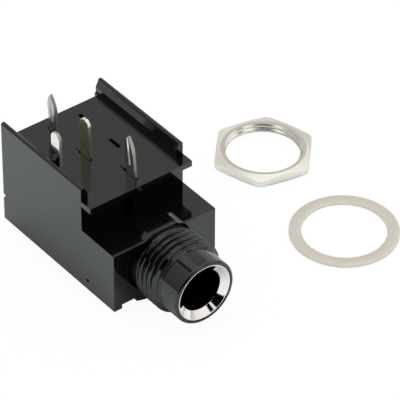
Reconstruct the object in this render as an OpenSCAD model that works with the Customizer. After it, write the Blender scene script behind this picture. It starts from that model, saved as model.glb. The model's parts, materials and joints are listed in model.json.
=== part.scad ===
// Phone jack for a 6.35 mm plug: moulded housing with a threaded panel nose, four stamped
// contacts whose pins stand up for a board, a mouth ferrule, a bottom cover, and the panel nut
// and washer lying beside it. Origin on the nose axis at the panel face, nose towards -Y, pins up.

/* [Housing] */
// Width across the side walls
body_w = 17.2; // [14:0.1:22]
// Thickness of the side walls
side_wall = 1.35; // [1:0.05:1.8]
// Thickness of the front wall behind the panel face
front_wall = 3; // [2:0.1:3.4]
// Thickness of the rear wall
rear_wall = 1.7; // [0.6:0.1:2]
// Distance that the side walls run on behind the rear wall
rear_recess = 0.75; // [0.2:0.05:2]
// Depth of the low front shelf, from the panel face to the contact box
shelf_d = 7.2; // [6.4:0.1:9]
// Thickness of the shelf
shelf_t = 0.8; // [0.5:0.05:1.5]
// Height of the contact box, from the shelf to the top of the deck
box_h = 4.95; // [4.4:0.05:7]
// Thickness of the contact box's front wall
box_wall = 1.2; // [0.9:0.05:2]
// Drop of the side walls' feet below the cover
foot_drop = 0.65; // [0.2:0.05:1.5]
// Height of the notch in the rear edge of each side wall
notch_h = 0.65; // [0.3:0.05:1.5]
// Drop of the notch below the nose axis
notch_drop = 0.9; // [0:0.1:2]
// Diameter of the gate mark on the left side
gate_d = 0.5; // [0.3:0.05:1]
// Depth of the gate mark
gate_depth = 0.2; // [0.1:0.05:0.4]
// Distance of the gate mark behind the panel face
gate_y = 6; // [2:0.1:12]
// Drop of the gate mark below the nose axis
gate_drop = 3.3; // [0:0.1:3.5]

/* [Deck and fins] */
// Thickness of the deck that the pins pass through
deck_t = 0.9; // [0.6:0.05:1.4]
// Overhang of the deck in front of the contact box
deck_lip = 2.1; // [1:0.05:3]
// Radius of the deck's front corners
deck_corner_r = 0.1; // [0.1:0.05:1.5]
// Height of the side fins above the deck
fin_h = 2.1; // [1:0.1:4]
// Thickness of a fin at its round top
fin_top_t = 0.75; // [0.3:0.05:1.1]
// Thickness of a fin at its upright foot
fin_base_t = 1.15; // [1.1:0.05:2]
// Height of the sloping part of a fin's inner face, between its foot and its top
fin_slope_h = 0.85; // [0.5:0.05:1.2]

/* [Nose] */
// Length of the nose in front of the panel face
nose_l = 8.85; // [7.5:0.05:14]
// Length of the threaded part of the nose
thread_l = 5.3; // [3:0.1:6.5]
// Thread pitch
thread_pitch = 1; // [0.75:0.05:1.5]
// Depth of the thread
thread_depth = 0.45; // [0.3:0.05:0.6]
// Height of the thread's crest above the plain front of the nose
thread_proud = 0.65; // [0.5:0.05:1]
// Width of the relief groove between the panel face and the thread
relief_w = 0.4; // [0.2:0.05:0.8]
// Depth of the undercut in the panel face around the nose
undercut_d = 0.2; // [0.05:0.05:0.5]
// Gap between the thread's crest and the undercut's outer edge
undercut_gap = 0.15; // [0.05:0.05:0.3]
// Radius of the nose's front edge
nose_edge_r = 0.45; // [0.2:0.05:0.5]
// Height of the pad on the shelf behind the thread
pad_h = 0.52; // [0.2:0.02:0.7]
// Half width of the pad at its foot
pad_half_w = 3.3; // [2.8:0.1:5]
// Run of the pad's sloping sides
pad_slope = 0.95; // [0.3:0.05:1.2]
// Half width of the boss under the front wall
boss_half_w = 4.8; // [4:0.1:6]
// Run of the boss's sloping sides
boss_slope = 1.4; // [0.5:0.1:2.5]
// Drop of the boss below the feet
boss_drop = 0.4; // [0.1:0.05:0.6]

/* [Plug bore and ferrule] */
// Diameter of the plug bore
bore_d = 6.4; // [6.35:0.05:7]
// Thickness of the plastic liner around the bore, inside the ferrule
liner_t = 0.8; // [0.5:0.05:1.2]
// Thickness of the ferrule's sheet
ferrule_t = 0.37; // [0.25:0.01:0.5]
// Length of the ferrule's skirt in the nose
ferrule_l = 2.65; // [1.5:0.05:5]
// Depth of the ferrule's conical mouth
mouth_depth = 1; // [0.4:0.05:1.3]
// Set-back of the ferrule's outer edge behind the nose's front
brim_set_back = 0.1; // [0.05:0.01:0.2]
// Thickness of the plastic rim around the ferrule
rim_t = 0.53; // [0.5:0.01:1]
// Gap between the ferrule and its seat
ferrule_gap = 0.02; // [0.01:0.01:0.05]

/* [Contacts] */
// Thickness of the contacts' sheet
contact_t = 0.5; // [0.3:0.02:0.5]
// Width of a pin
pin_w = 1.9; // [1.2:0.05:2]
// Height of the tip pin above the deck
tip_pin_h = 6.65; // [4:0.05:8]
// Height of the ring pin above the deck
ring_pin_h = 6.45; // [4:0.05:8]
// Height of the sleeve pin above the deck
sleeve_pin_h = 6.8; // [4:0.05:8]
// Height of the switch pin above the deck
switch_pin_h = 6.1; // [4:0.05:8]
// Spacing of the pins along the body
pin_pitch = 7; // [6.6:0.1:8]
// Distance of the first pin's middle behind the shelf's back edge
first_pin = 0.45; // [0.3:0.05:0.6]
// Offset of the tip pin to the left of the middle
tip_offset = 2.4; // [1.8:0.05:3]
// Offset of the ring pin to the left of the middle
ring_offset = 2.25; // [1.8:0.05:3]
// Offset of the sleeve pin to the right of the middle
sleeve_offset = 0.25; // [0:0.05:0.5]
// Offset of the spare slots to the right of the middle
spare_offset = 2.6; // [2:0.05:3.5]
// Length of the spare slots
spare_slot_l = 2.3; // [1.5:0.1:3]
// Distance of the switch pin's middle behind the ring pin's
switch_shift = 0.25; // [0:0.05:1.5]
// Gap between the switch contact and the side wall
switch_wall_gap = 0.1; // [0.05:0.05:1]
// Gap between the switch contact's tongue and the ring contact above it
switch_gap = 0.3; // [0.1:0.05:1]
// Length of the tip contact's heel behind its pin
tip_heel = 0.2; // [0.2:0.05:1.5]
// Length of the ring contact's heel behind its pin
ring_heel = 0.2; // [0.2:0.05:1.5]
// Length of the sleeve contact's heel behind its pin
sleeve_heel = 0.5; // [0.5:0.05:2]
// Length of the score line in the deck behind a pin's slot
score_l = 0.9; // [0.3:0.05:1.5]
// Width of the score line
score_w = 0.16; // [0.05:0.01:0.3]
// Depth of the score line
score_d = 0.3; // [0.1:0.05:0.5]
// Distance of the heels' top below the top of the deck
heel_drop = 0.6; // [0.1:0.05:0.8]
// Height of the heels
heel_h = 1.5; // [1:0.1:1.8]
// Length of the leaf-shaped tip of the tip and sleeve pins
leaf_tip = 2.7; // [1:0.1:3.5]
// Lean of the tip pin to the left, in degrees
tip_lean = 4; // [0:0.5:10]
// Twist of the tip pin's front edge to the left, in degrees
tip_twist = 5; // [0:1:20]
// Lean of the sleeve pin to the left, in degrees
sleeve_lean = 4; // [0:0.5:10]
// Height above the deck at which a pin leans
lean_start = 0.3; // [0.2:0.05:1]
// Depth of the groove pressed into a pin
groove_depth = 0.12; // [0.04:0.01:0.14]
// Width of the groove
groove_w = 0.4; // [0.2:0.02:0.6]
// Height of the groove's lower end above the deck
groove_foot = 1.9; // [1:0.1:3]
// Gap between a contact and each side of its slot
slot_gap = 0.04; // [0.03:0.01:0.15]
// Room at each end of a slot
slot_end = 0.3; // [0.05:0.05:0.4]
// Width of a contact's spring arm
arm_w = 2.2; // [1.6:0.1:2.6]
// Reach of the tip and ring arms from the pin's middle to the plug
arm_reach = 3.2; // [2.8:0.1:3.6]
// Radius of the bend that touches the plug
bend_r = 0.6; // [0.5:0.05:0.8]
// Run of an arm's free end past the bend
arm_lead = 1; // [0.8:0.05:1.2]
// Distance from the deck's underside down to the tip and ring arms
arm_drop = 1.6; // [1:0.1:2.2]
// Distance that the ring and sleeve bends stand inside the plug's surface
squeeze = 0.2; // [0.05:0.05:0.4]
// Depth of the plug's waist, which the tip bend drops into
waist_depth = 0.65; // [0.3:0.05:0.8]
// Wall of the boss in front of the sleeve's slot
sleeve_boss_wall = 0.25; // [0.2:0.05:0.5]
// Wall of that boss at each side of the slot
sleeve_boss_cheek = 0.5; // [0.2:0.05:1]
// Room for the sleeve's spring arm between the plug and the shelf
spring_room = 0.75; // [0.7:0.05:1.5]
// Gap between the sleeve contact's root and the shelf above it
sleeve_root_gap = 0.1; // [0.05:0.01:0.15]

/* [Bottom cover] */
// Thickness of the cover
cover_t = 0.8; // [0.6:0.05:1.5]
// Room between the cover and the plug
cover_room = 0.2; // [0.1:0.05:1]
// Width of the ledge that the cover sits on
ledge_w = 0.6; // [0.4:0.05:1]
// Gap around the cover
cover_gap = 0.05; // [0.02:0.01:0.1]
// Length of the cover's snap lugs
lug_l = 3; // [1.5:0.1:5]
// Projection of the snap lugs
lug_out = 0.3; // [0.15:0.05:0.5]
// Height of the snap lugs
lug_h = 0.4; // [0.2:0.05:0.5]

/* [Panel nut and washer] */
// Thickness of the nut
nut_t = 1.5; // [1:0.1:3]
// Wall of the nut across its flats, beyond the thread
nut_wall = 1.15; // [0.9:0.05:2.5]
// Overlap of the nut's thread with the nose thread
nut_bite = 0.2; // [0.1:0.05:0.4]
// Chamfer of the nut's hole
nut_chamfer = 0.25; // [0.1:0.05:0.4]
// Width of the nut's level face around its hole
nut_face_w = 0.8; // [0.5:0.05:1.2]
// Slope of the nut's faces beyond that, in degrees
nut_slope = 8; // [3:1:20]
// Depth that the nut's corners are turned down
nut_corner_cut = 0.2; // [0.1:0.05:0.6]
// Turn of the nut as it lies
nut_turn = 47; // [0:1:59]
// Distance of the nut's middle to the right of the nose axis
nut_x = 29.2; // [20:0.1:50]
// Distance of the nut's middle behind the panel face
nut_y = 15.2; // [10:0.1:30]
// Distance of the washer's middle to the right of the nose axis
washer_x = 27.4; // [20:0.1:50]
// Distance of the washer's middle in front of the panel face
washer_y = 5.1; // [0:0.1:20]
// Thickness of the washer
washer_t = 0.4; // [0.2:0.05:1]
// Gap between the washer and the nose thread
washer_gap = 0.45; // [0.2:0.05:0.8]
// Width of the washer's ring
washer_w = 1.75; // [1:0.05:3]

/* [Hidden] */
$fn = 96;
black = "#1c1d1e";
bright = "#d8d6d0";
silver = "#c9c5bb";

// Half the angle between a thread's flanks
thread_half_angle = 30;

// Straight stretches that stand for a spring arm's bend
bend_steps = 8;

// Lap of a pin's free length into the blade below it
foot_lap = 0.05;

// Overrun of every cut past the face that it opens
cut = 0.5;

// Radii around the nose axis
bore_r = bore_d / 2;
skirt_in_r = bore_r + liner_t;
skirt_out_r = skirt_in_r + ferrule_t;
nose_r = skirt_out_r + rim_t;
crest_r = nose_r + thread_proud;
root_r = crest_r - thread_depth;

// Levels above and below the nose axis
ceiling_z = bore_r + spring_room;
shelf_z = ceiling_z + shelf_t;
deck_z = shelf_z + box_h;
deck_under_z = deck_z - deck_t;
cover_top_z = -(bore_r + cover_room);
cover_under_z = cover_top_z - cover_t;
feet_z = cover_under_z - foot_drop;
arm_root_z = deck_under_z - arm_drop;
sleeve_root_z = ceiling_z - sleeve_root_gap - contact_t / 2;
ground_z = min(feet_z - boss_drop, -crest_r);

// Places along the body, from the panel face backwards
sleeve_y = shelf_d + first_pin;
ring_y = sleeve_y + pin_pitch;
tip_y = ring_y + pin_pitch;
switch_y = ring_y + switch_shift;
box_front_y = shelf_d + box_wall;
rear_in_y = tip_y + pin_w / 2 + tip_heel + slot_end + slot_gap;
rear_out_y = rear_in_y + rear_wall;
body_d = rear_out_y + rear_recess;
sleeve_boss_y = sleeve_y - pin_w / 2 - slot_end - sleeve_boss_wall;

half_w = body_w / 2;
hall_half_w = half_w - side_wall;
channel_half_w = hall_half_w - ledge_w;
switch_x = -hall_half_w + switch_wall_gap + contact_t / 2;
slot_w = contact_t + 2 * slot_gap;
sleeve_boss_w = slot_w + 2 * sleeve_boss_cheek;
pad_d = front_wall;

// A box between two corners
module span(low, high) {
    translate(low) cube(high - low);
}

// A profile drawn in Y and Z, made solid from x0 to x1
module across(x0, x1) {
    translate([x0, 0, 0]) rotate([90, 0, 90]) linear_extrude(x1 - x0) children();
}

// A profile drawn in X and Z, made solid from y0 to y1
module along(y0, y1) {
    translate([0, y1, 0]) rotate([90, 0, 0]) linear_extrude(y1 - y0) children();
}

// A profile drawn as radius and distance ahead of the panel face, turned about the nose axis
module turned() {
    rotate([90, 0, 0]) rotate_extrude() children();
}

// Ridges of the thread, rooted inside the core, from the relief groove to the end of the thread
module thread_ridges() {
    flank = thread_depth * tan(thread_half_angle);
    land = thread_pitch / 2 - flank;
    turns = floor((thread_l - relief_w + land) / thread_pitch);
    for (i = [0 : turns - 1])
        translate([0, relief_w + i * thread_pitch])
            polygon([
                [bore_r, 0],
                [root_r, 0],
                [crest_r, flank],
                [crest_r, flank + land],
                [root_r, 2 * flank + land],
                [bore_r, 2 * flank + land]
            ]);
}

// Outside of the nose: core, thread, plain front and its round edge
module nose() {
    front_w = nose_l - thread_l;
    rotate([90, 0, 0]) cylinder(r = root_r, h = thread_l);
    turned() thread_ridges();
    translate([0, -thread_l, 0]) rotate([90, 0, 0]) cylinder(r = nose_r, h = front_w - nose_edge_r);
    rotate([90, 0, 0]) cylinder(r = nose_r - nose_edge_r, h = nose_l);
    turned() translate([nose_r - nose_edge_r, nose_l - nose_edge_r]) circle(nose_edge_r);
}

// Ring cut into the panel face around the nose, so that a panel lies flat over the thread's root
module root_undercut() {
    turned() translate([root_r, -undercut_d])
        square([crest_r + undercut_gap - root_r, undercut_d + relief_w / 2]);
}

// Deck plate, rounded at its two front corners
module deck() {
    front_y = shelf_d - deck_lip;
    translate([0, 0, deck_under_z]) linear_extrude(deck_t) {
        translate([-half_w, front_y + deck_corner_r])
            square([body_w, rear_out_y - front_y - deck_corner_r]);
        translate([-half_w + deck_corner_r, front_y])
            square([body_w - 2 * deck_corner_r, 2 * deck_corner_r]);
        for (side = [-1, 1])
            translate([side * (half_w - deck_corner_r), front_y + deck_corner_r]) circle(deck_corner_r);
    }
}

// One fin's profile, with its plain outer face at the side of the body
module fin_profile() {
    top_r = fin_top_t / 2;
    shoulder_z = deck_z + fin_h - top_r;
    polygon([
        [-half_w, deck_under_z],
        [-half_w, shoulder_z],
        [-half_w + fin_top_t, shoulder_z],
        [-half_w + fin_base_t, shoulder_z - fin_slope_h],
        [-half_w + fin_base_t, deck_under_z]
    ]);
    translate([-half_w + top_r, shoulder_z]) circle(top_r);
}

// Outer form of the housing
module housing_form() {
    span([-half_w, 0, cover_under_z], [half_w, rear_out_y, shelf_z]);
    span([-half_w, shelf_d, ceiling_z], [half_w, rear_out_y, deck_under_z]);
    deck();
    for (side = [0, 1]) mirror([side, 0, 0]) {
        span([-half_w, 0, feet_z], [-hall_half_w, rear_out_y, shelf_z]);
        span([-half_w, shelf_d, feet_z], [-hall_half_w, body_d, deck_z]);
        along(shelf_d, body_d) fin_profile();
    }
    span(
        [sleeve_offset - sleeve_boss_w / 2, sleeve_boss_y, ceiling_z],
        [sleeve_offset + sleeve_boss_w / 2, shelf_d + box_wall, deck_under_z]
    );
    along(0, pad_d) polygon([
        [-pad_half_w, shelf_z],
        [pad_half_w, shelf_z],
        [pad_half_w - pad_slope, shelf_z + pad_h],
        [-pad_half_w + pad_slope, shelf_z + pad_h]
    ]);
    along(0, front_wall - ledge_w - cover_gap) polygon([
        [-boss_half_w, cover_under_z],
        [-boss_half_w, feet_z],
        [-boss_half_w + boss_slope, feet_z - boss_drop],
        [boss_half_w - boss_slope, feet_z - boss_drop],
        [boss_half_w, feet_z],
        [boss_half_w, cover_under_z]
    ]);
    nose();
}

// A slot through the deck, from y0 to y1
module deck_slot(x, y0, y1, bottom_z) {
    span([x - slot_w / 2, y0, bottom_z], [x + slot_w / 2, y1, deck_z + cut]);
}

// The slot that a contact stands in
module contact_slot(x, y, heel, bottom_z) {
    deck_slot(x, y - pin_w / 2 - slot_end, y + pin_w / 2 + heel + slot_end, bottom_z);
}

// Score line in the deck, which runs on behind a contact's slot
module score_line(x, y, heel) {
    heel_y = y + pin_w / 2 + heel;
    span(
        [x - score_w / 2, heel_y, deck_z - score_d],
        [x + score_w / 2, heel_y + slot_end + score_l, deck_z + cut]
    );
}

// Snap lugs of the cover, or their pockets when grown by a gap
module lugs(grow) {
    for (side = [-1, 1], y = [front_wall + lug_l, rear_in_y - lug_l])
        translate([side * (hall_half_w - cover_gap), y, cover_under_z + cover_t / 2])
            cube([2 * lug_out + 2 * grow, lug_l + 2 * grow, lug_h + 2 * grow], center = true);
}

// Spaces inside the housing
module housing_space() {
    span([-channel_half_w, front_wall, cover_under_z], [channel_half_w, rear_in_y, ceiling_z]);
    span([-hall_half_w, front_wall - ledge_w, feet_z - cut], [hall_half_w, rear_in_y, cover_top_z]);
    span([-hall_half_w, box_front_y, ceiling_z - cut], [hall_half_w, rear_in_y, deck_under_z]);
    translate([0, front_wall + cut, 0])
        rotate([90, 0, 0]) cylinder(r = bore_r, h = nose_l + front_wall + 2 * cut);
    turned() ferrule_seat();
    root_undercut();
    contact_slot(-tip_offset, tip_y, tip_heel, deck_under_z - cut);
    contact_slot(-ring_offset, ring_y, ring_heel, deck_under_z - cut);
    contact_slot(sleeve_offset, sleeve_y, sleeve_heel, ceiling_z - cut);
    contact_slot(switch_x, switch_y, 0, deck_under_z - cut);
    score_line(-ring_offset, ring_y, ring_heel);
    score_line(sleeve_offset, sleeve_y, sleeve_heel);
    for (y = [ring_y, tip_y])
        deck_slot(spare_offset, y - spare_slot_l / 2, y + spare_slot_l / 2, deck_under_z - cut);
    for (side = [-1, 1])
        translate([side * half_w, body_d, -notch_drop])
            cube([2 * side_wall + cut, rear_recess, notch_h], center = true);
    lugs(cover_gap);
    translate([-half_w, gate_y, -gate_drop])
        rotate([0, 90, 0]) cylinder(d = gate_d, h = 2 * gate_depth, center = true);
}

// Moulded housing
module housing() {
    color(black) difference() {
        housing_form();
        housing_space();
    }
}

// Section of the ferrule: a conical mouth with a skirt, as radius and distance ahead of the panel
module ferrule_section() {
    lip_z = nose_l - mouth_depth;
    brim_z = nose_l - brim_set_back;
    polygon([
        [bore_r, lip_z],
        [skirt_out_r, brim_z],
        [skirt_out_r, lip_z - ferrule_l],
        [skirt_in_r, lip_z - ferrule_l],
        [skirt_in_r, lip_z - ferrule_t],
        [bore_r, lip_z - ferrule_t]
    ]);
}

// Space that the ferrule needs in the nose
module ferrule_seat() {
    lip_z = nose_l - mouth_depth;
    polygon([
        [0, nose_l + cut],
        [skirt_out_r + ferrule_gap, nose_l + cut],
        [skirt_out_r + ferrule_gap, lip_z - ferrule_l - ferrule_gap],
        [skirt_in_r - ferrule_gap, lip_z - ferrule_l - ferrule_gap],
        [skirt_in_r - ferrule_gap, lip_z - ferrule_t - ferrule_gap],
        [0, lip_z - ferrule_t - ferrule_gap]
    ]);
}

// Bright ferrule in the mouth of the nose
module mouth_ferrule() {
    color(bright) turned() ferrule_section();
}

// Outline of a pin's free length with a round or leaf-shaped tip, drawn about its foot
module pin_outline(h, tip_l) {
    shoulder_z = h - lean_start - tip_l;
    arc_r = (pow(tip_l, 2) + pow(pin_w / 2, 2)) / pin_w;
    translate([-pin_w / 2, -foot_lap]) square([pin_w, shoulder_z + foot_lap]);
    intersection() {
        translate([pin_w / 2 - arc_r, shoulder_z]) circle(arc_r);
        translate([-pin_w / 2 + arc_r, shoulder_z]) circle(arc_r);
        translate([-pin_w / 2, shoulder_z]) square([pin_w, tip_l]);
    }
}

// A pin's free length about the middle of its foot, with a groove pressed into one face
module pin(h, tip_l, groove_side) {
    groove_x = groove_side * (contact_t / 2 + groove_w / 2 - groove_depth);
    difference() {
        across(-contact_t / 2, contact_t / 2) pin_outline(h, tip_l);
        translate([groove_x, 0, groove_foot - lean_start]) cylinder(d = groove_w, h = h);
    }
}

// The upright part of a contact from its root up to where its pin's free length starts, with its heel
module blade(x, y, heel, root_low) {
    front_y = y - pin_w / 2;
    across(x - contact_t / 2, x + contact_t / 2) {
        translate([front_y, root_low]) square([pin_w, deck_z + lean_start - root_low]);
        translate([front_y, deck_z - heel_drop - heel_h]) square([pin_w + heel, heel_h]);
    }
}

// Angle at which a line from p touches the circle about c
function touch_angle(p, c, r, side) =
    let (d = p - c)
        (atan2(d[1], d[0]) + 360) % 360 + side * acos(r / norm(d));

// Middle line of a spring arm: root, bend that touches the plug, free end
function arm_line(root, bend, tail) =
    let (
        a0 = touch_angle(root, bend, bend_r, 1),
        a1 = a0 + (touch_angle(tail, bend, bend_r, -1) - a0 + 720) % 360
    )
        concat(
            [root],
            [
                for (i = [0 : bend_steps])
                    let (a = a0 + (a1 - a0) * i / bend_steps)
                        bend + bend_r * [cos(a), sin(a)]
            ],
            [tail]
        );

function left_of(a, b) =
    let (d = (b - a) / norm(b - a))
        [-d[1], d[0]];

// A point of the line's edge, h to the left of it
function edge_point(line, i, h) =
    let (
        last = len(line) - 1,
        before = left_of(line[max(i - 1, 0)], line[max(i, 1)]),
        after = left_of(line[min(i, last - 1)], line[min(i + 1, last)])
    )
        line[i] + h * (before + after) / (1 + before * after);

// A strip of the contacts' sheet along a middle line
module strip(line) {
    last = len(line) - 1;
    half_t = contact_t / 2;
    polygon(concat(
        [for (i = [0 : last]) edge_point(line, i, half_t)],
        [for (i = [last : -1 : 0]) edge_point(line, i, -half_t)]
    ));
}

// One stamped contact: a blade with its pin, a root folded level, and a spring arm towards the front.
// root_z is the root's middle, touch_z the level that the bend comes down to, tail_z the free end's.
module contact(x, y, heel, root_z, touch_z, tail_z, h, tip_l, groove_side, lean, twist) {
    front_y = y - pin_w / 2;
    blade_x0 = x - contact_t / 2;
    arm_x0 = max(-arm_w / 2, blade_x0);
    arm_x1 = arm_x0 + arm_w;
    root_low = root_z - contact_t / 2;
    bend = [y - arm_reach, touch_z + bend_r + contact_t / 2];
    tail = [bend[0] - arm_lead, tail_z];
    // The line runs from the root at the back to the free end at the front, drawn with -Y as forward
    line = arm_line([-front_y, root_z], [-bend[0], bend[1]], [-tail[0], tail[1]]);
    blade(x, y, heel, root_low);
    translate([x, y, deck_z + lean_start]) rotate([0, -lean, -twist]) pin(h, tip_l, groove_side);
    span([blade_x0, front_y, root_low], [arm_x1, y + pin_w / 2, root_low + contact_t]);
    across(arm_x0, arm_x1) mirror([1, 0]) strip(line);
}

module tip_contact() {
    color(silver)
        contact(
            -tip_offset, tip_y, tip_heel, arm_root_z, bore_r - waist_depth, bore_r + spring_room,
            tip_pin_h, leaf_tip, -1, tip_lean, tip_twist
        );
}

module ring_contact() {
    color(silver)
        contact(
            -ring_offset, ring_y, ring_heel, arm_root_z, bore_r - squeeze, bore_r + spring_room,
            ring_pin_h, pin_w / 2, 1, 0, 0
        );
}

module sleeve_contact() {
    color(silver)
        contact(
            sleeve_offset, sleeve_y, sleeve_heel, sleeve_root_z, bore_r - squeeze, sleeve_root_z,
            sleeve_pin_h, leaf_tip, -1, sleeve_lean, 0
        );
}

// Contact beside the left wall, whose tongue reaches under the ring contact's root
module switch_contact() {
    ring_under_z = arm_root_z - contact_t / 2;
    tongue_low = ring_under_z - switch_gap - contact_t;
    color(silver) {
        blade(switch_x, switch_y, 0, tongue_low);
        translate([switch_x, switch_y, deck_z + lean_start]) pin(switch_pin_h, pin_w / 2, 1);
        span(
            [switch_x - contact_t / 2, switch_y - pin_w / 2, tongue_low],
            [-ring_offset + contact_t, switch_y + pin_w / 2, tongue_low + contact_t]
        );
    }
}

// Cover that closes the underside between the side walls
module bottom_cover() {
    x = hall_half_w - cover_gap;
    y0 = front_wall - ledge_w + cover_gap;
    y1 = rear_in_y - cover_gap;
    color(black) {
        span([-x, y0, cover_under_z], [x, y1, cover_top_z]);
        lugs(0);
    }
}

// Hexagon nut lying on the ground
module panel_nut() {
    hole_r = crest_r - nut_bite;
    flat_r = crest_r + nut_wall;
    corner_r = flat_r / cos(30);
    face_r = hole_r + nut_face_w;
    edge_r = corner_r - nut_corner_cut;
    drop = (edge_r - face_r) * tan(nut_slope);
    color(bright) translate([nut_x, nut_y, ground_z]) difference() {
        intersection() {
            rotate([0, 0, nut_turn]) cylinder(r = corner_r, h = nut_t, $fn = 6);
            rotate_extrude() polygon([
                [0, 0],
                [face_r, 0],
                [edge_r, drop],
                [edge_r, nut_t - drop],
                [face_r, nut_t],
                [0, nut_t]
            ]);
        }
        translate([0, 0, -cut]) cylinder(r = hole_r, h = nut_t + 2 * cut);
        rotate_extrude() polygon([
            [0, -cut],
            [hole_r + nut_chamfer + cut, -cut],
            [hole_r, nut_chamfer],
            [hole_r, nut_t - nut_chamfer],
            [hole_r + nut_chamfer + cut, nut_t + cut],
            [0, nut_t + cut]
        ]);
    }
}

// Thin washer lying on the ground
module panel_washer() {
    hole_r = crest_r + washer_gap;
    color(bright) translate([washer_x, -washer_y, ground_z]) difference() {
        cylinder(r = hole_r + washer_w, h = washer_t);
        translate([0, 0, -cut]) cylinder(r = hole_r, h = washer_t + 2 * cut);
    }
}

housing();
mouth_ferrule();
tip_contact();
ring_contact();
sleeve_contact();
switch_contact();
bottom_cover();
panel_nut();
panel_washer();
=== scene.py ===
"""Looks of a board-mounted phone jack, with its panel nut and washer lying beside it."""

from __future__ import annotations

import json
import logging
import math
from collections.abc import Callable, Iterable, Iterator, Sequence
from contextlib import contextmanager
from dataclasses import dataclass, field
from enum import Enum
from itertools import pairwise
from typing import Any

import bmesh
import bpy
from mathutils import Euler, Matrix, Vector

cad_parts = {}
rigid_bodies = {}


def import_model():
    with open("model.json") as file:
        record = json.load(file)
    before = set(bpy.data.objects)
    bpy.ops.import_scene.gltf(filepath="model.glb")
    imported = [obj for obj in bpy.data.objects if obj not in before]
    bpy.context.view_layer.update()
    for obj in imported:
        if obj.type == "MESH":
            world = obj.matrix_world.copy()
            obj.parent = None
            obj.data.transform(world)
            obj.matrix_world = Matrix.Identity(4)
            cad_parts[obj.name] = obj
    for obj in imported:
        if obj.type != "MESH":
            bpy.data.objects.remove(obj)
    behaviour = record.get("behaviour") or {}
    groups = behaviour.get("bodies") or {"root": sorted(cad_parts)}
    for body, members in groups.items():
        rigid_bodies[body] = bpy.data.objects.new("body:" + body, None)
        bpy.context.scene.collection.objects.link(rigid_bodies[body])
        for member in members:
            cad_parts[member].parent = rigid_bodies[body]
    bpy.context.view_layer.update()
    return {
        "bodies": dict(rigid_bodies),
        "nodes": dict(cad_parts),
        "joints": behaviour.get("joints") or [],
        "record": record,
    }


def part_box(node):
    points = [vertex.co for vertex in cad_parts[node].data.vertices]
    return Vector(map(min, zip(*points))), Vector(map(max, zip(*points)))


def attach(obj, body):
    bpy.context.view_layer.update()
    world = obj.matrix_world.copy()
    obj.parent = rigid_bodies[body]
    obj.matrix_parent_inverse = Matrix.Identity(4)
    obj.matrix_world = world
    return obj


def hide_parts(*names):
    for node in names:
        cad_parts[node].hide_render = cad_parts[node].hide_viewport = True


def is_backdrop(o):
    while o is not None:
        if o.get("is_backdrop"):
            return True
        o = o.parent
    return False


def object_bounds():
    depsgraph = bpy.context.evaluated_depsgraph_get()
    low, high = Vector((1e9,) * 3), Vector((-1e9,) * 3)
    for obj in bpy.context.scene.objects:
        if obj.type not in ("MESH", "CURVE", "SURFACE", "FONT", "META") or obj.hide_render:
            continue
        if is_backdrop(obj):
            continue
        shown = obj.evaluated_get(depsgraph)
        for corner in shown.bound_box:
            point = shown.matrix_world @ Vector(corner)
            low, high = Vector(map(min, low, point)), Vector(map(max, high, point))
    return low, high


LOG = logging.getLogger("phone_jack")
MM = 0.001
MERGE = 0.001 * MM
FLAT = math.radians(1)
SHARP = math.radians(40)
FULL_TURN = 2 * math.pi
AXIS_Y = Vector((0, 1, 0))
AXIS_Z = Vector((0, 0, 1))
BODY = "root"

Colour = tuple[float, float, float, float]
Point = tuple[float, float]
# What a socket is given: a number, a colour, a vector or a wire
Input = Any


class SelectMode(Enum):
    """What a selection in edit mode is made of."""

    VERTS = "VERT"
    EDGES = "EDGE"


class Carving(Enum):
    """Ways in which one solid shapes another."""

    CUT_AWAY = "DIFFERENCE"
    KEEP_SHARED = "INTERSECT"


class Lay(Enum):
    """Directions in which the fine lines of a metal surface run."""

    RINGS_ABOUT_Y = "rings about the nose axis"
    RINGS_ABOUT_Z = "rings about an upright axis"
    UPRIGHT = "upright lines"
    ROLLED = "lines along one direction of a sheet"


@dataclass(frozen=True)
class JackSizes:
    """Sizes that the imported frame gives, in metres.

    Attributes:
        bore_r: Radius of the plug bore.
        crest_r: Radius of the nose thread's crest.
        nose_tip_y: Front end of the nose.
        ground_z: Level that everything lies on.
    """

    bore_r: float
    crest_r: float
    nose_tip_y: float
    ground_z: float

    @classmethod
    def from_frame(cls, frame: dict[str, Any]) -> JackSizes:
        """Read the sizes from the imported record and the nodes' boxes.


        Returns:
            The sizes in metres.
        """
        dims = {mount["name"]: mount["dims"] for mount in frame["record"]["mounts"]}
        return cls(
            bore_r=dims["plug_bore"]["r_mm"] * MM,
            crest_r=dims["panel_thread"]["r_mm"] * MM,
            nose_tip_y=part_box("housing")[0].y,
            ground_z=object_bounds()[0].z,
        )


def alone(piece: bpy.types.Object | None = None) -> None:
    """Deselect everything, then select and activate one piece.

    Args:
        piece: The piece to select, or None to leave nothing selected.
    """
    bpy.ops.object.select_all(action="DESELECT")
    if piece is not None:
        piece.select_set(True)
        bpy.context.view_layer.objects.active = piece


@contextmanager
def editing(piece: bpy.types.Object, mode: SelectMode) -> Iterator[bmesh.types.BMesh]:
    """Open a piece in edit mode with nothing selected, and close it again.

    Args:
        piece: The mesh object to edit.
        mode: What a selection is made of.

    Returns:
        The edit mesh, in which parts are selected by their place.
    """
    alone(piece)
    bpy.ops.object.mode_set(mode="EDIT")
    bpy.ops.mesh.select_mode(type=mode.value)
    bpy.ops.mesh.select_all(action="DESELECT")
    yield bmesh.from_edit_mesh(piece.data)
    bpy.ops.object.mode_set(mode="OBJECT")


def pick(piece: bpy.types.Object, parts: Iterable[Any], wanted: Callable[[Any], bool]) -> int:
    """Select the parts of an edit mesh that a test wants.

    Args:
        piece: The piece in edit mode.
        parts: The mesh's vertices, edges or faces.
        wanted: The test.

    Returns:
        How many parts were selected.
    """
    chosen = [part for part in parts if wanted(part)]
    for part in chosen:
        part.select_set(True)
    bmesh.update_edit_mesh(piece.data)
    return len(chosen)


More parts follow.
